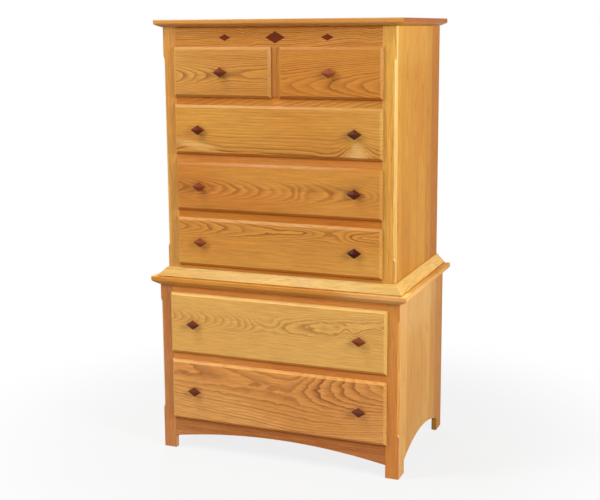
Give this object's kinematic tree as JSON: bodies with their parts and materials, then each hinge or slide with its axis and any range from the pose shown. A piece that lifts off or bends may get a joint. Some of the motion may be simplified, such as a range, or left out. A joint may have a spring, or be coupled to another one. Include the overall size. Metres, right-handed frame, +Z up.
{
  "type": "chest on chest",
  "caption": "Oak chest on chest: an upper case of drawers on a wider lower case, with a sloped waist moulding, arched skirts and dark diamond knobs.",
  "frame": {"origin": "on the floor under the middle of the chest's overall box, knobs included", "axes": "+Z up, -Y towards the person who opens the drawers, +X to that person's right"},
  "size_m": [1.028, 0.6446, 1.672],
  "materials": {
    "oak": "clear satin lacquer on oak",
    "drawer_wood": "thin clear coat",
    "web_wood": "bare, sanded",
    "dark_wood": "dark reddish satin"
  },
  "bodies": {
    "cases": {"top_board": "oak", "upper_stile_left": "oak", "upper_stile_right": "oak", "frieze_rail": "oak", "upper_rail_1": "oak", "upper_rail_2": "oak", "upper_rail_3": "oak", "upper_base_rail": "oak", "small_drawer_divider": "oak", "waist_board": "oak", "waist_moulding_front": "oak", "waist_moulding_left": "oak", "waist_moulding_right": "oak", "lower_stile_left": "oak", "lower_stile_right": "oak", "lower_top_frame": "oak", "lower_rail": "oak", "apron_rail": "oak", "upper_side_left": "oak", "upper_side_right": "oak", "lower_side_left": "oak", "lower_side_right": "oak", "frieze_inlay_left": "dark_wood", "frieze_inlay_centre": "dark_wood", "frieze_inlay_right": "dark_wood", "upper_top_frame": "web_wood", "upper_dust_frame_1": "web_wood", "upper_dust_frame_2": "web_wood", "upper_dust_frame_3": "web_wood", "upper_bottom_frame": "web_wood", "upper_back": "web_wood", "lower_dust_frame": "web_wood", "lower_bottom_frame": "web_wood", "lower_back": "web_wood"},
    "small_drawer_left": {"small_drawer_left_front": "oak", "small_drawer_left_box": "drawer_wood", "small_drawer_left_knob": "dark_wood"},
    "small_drawer_right": {"small_drawer_right_front": "oak", "small_drawer_right_box": "drawer_wood", "small_drawer_right_knob": "dark_wood"},
    "upper_drawer_1": {"upper_drawer_1_front": "oak", "upper_drawer_1_box": "drawer_wood", "upper_drawer_1_knob_left": "dark_wood", "upper_drawer_1_knob_right": "dark_wood"},
    "upper_drawer_2": {"upper_drawer_2_front": "oak", "upper_drawer_2_box": "drawer_wood", "upper_drawer_2_knob_left": "dark_wood", "upper_drawer_2_knob_right": "dark_wood"},
    "upper_drawer_3": {"upper_drawer_3_front": "oak", "upper_drawer_3_box": "drawer_wood", "upper_drawer_3_knob_left": "dark_wood", "upper_drawer_3_knob_right": "dark_wood"},
    "lower_drawer_1": {"lower_drawer_1_front": "oak", "lower_drawer_1_box": "drawer_wood", "lower_drawer_1_knob_left": "dark_wood", "lower_drawer_1_knob_right": "dark_wood"},
    "lower_drawer_2": {"lower_drawer_2_front": "oak", "lower_drawer_2_box": "drawer_wood", "lower_drawer_2_knob_left": "dark_wood", "lower_drawer_2_knob_right": "dark_wood"}
  },
  "joints": [
    {"name": "small_drawer_left_slide", "type": "slide", "parent": "cases", "child": "small_drawer_left", "axis": [0, -1, 0], "range_m": [0, 0.38]},
    {"name": "small_drawer_right_slide", "type": "slide", "parent": "cases", "child": "small_drawer_right", "axis": [0, -1, 0], "range_m": [0, 0.38]},
    {"name": "upper_drawer_1_slide", "type": "slide", "parent": "cases", "child": "upper_drawer_1", "axis": [0, -1, 0], "range_m": [0, 0.38]},
    {"name": "upper_drawer_2_slide", "type": "slide", "parent": "cases", "child": "upper_drawer_2", "axis": [0, -1, 0], "range_m": [0, 0.38]},
    {"name": "upper_drawer_3_slide", "type": "slide", "parent": "cases", "child": "upper_drawer_3", "axis": [0, -1, 0], "range_m": [0, 0.38]},
    {"name": "lower_drawer_1_slide", "type": "slide", "parent": "cases", "child": "lower_drawer_1", "axis": [0, -1, 0], "range_m": [0, 0.38]},
    {"name": "lower_drawer_2_slide", "type": "slide", "parent": "cases", "child": "lower_drawer_2", "axis": [0, -1, 0], "range_m": [0, 0.38]}
  ]
}
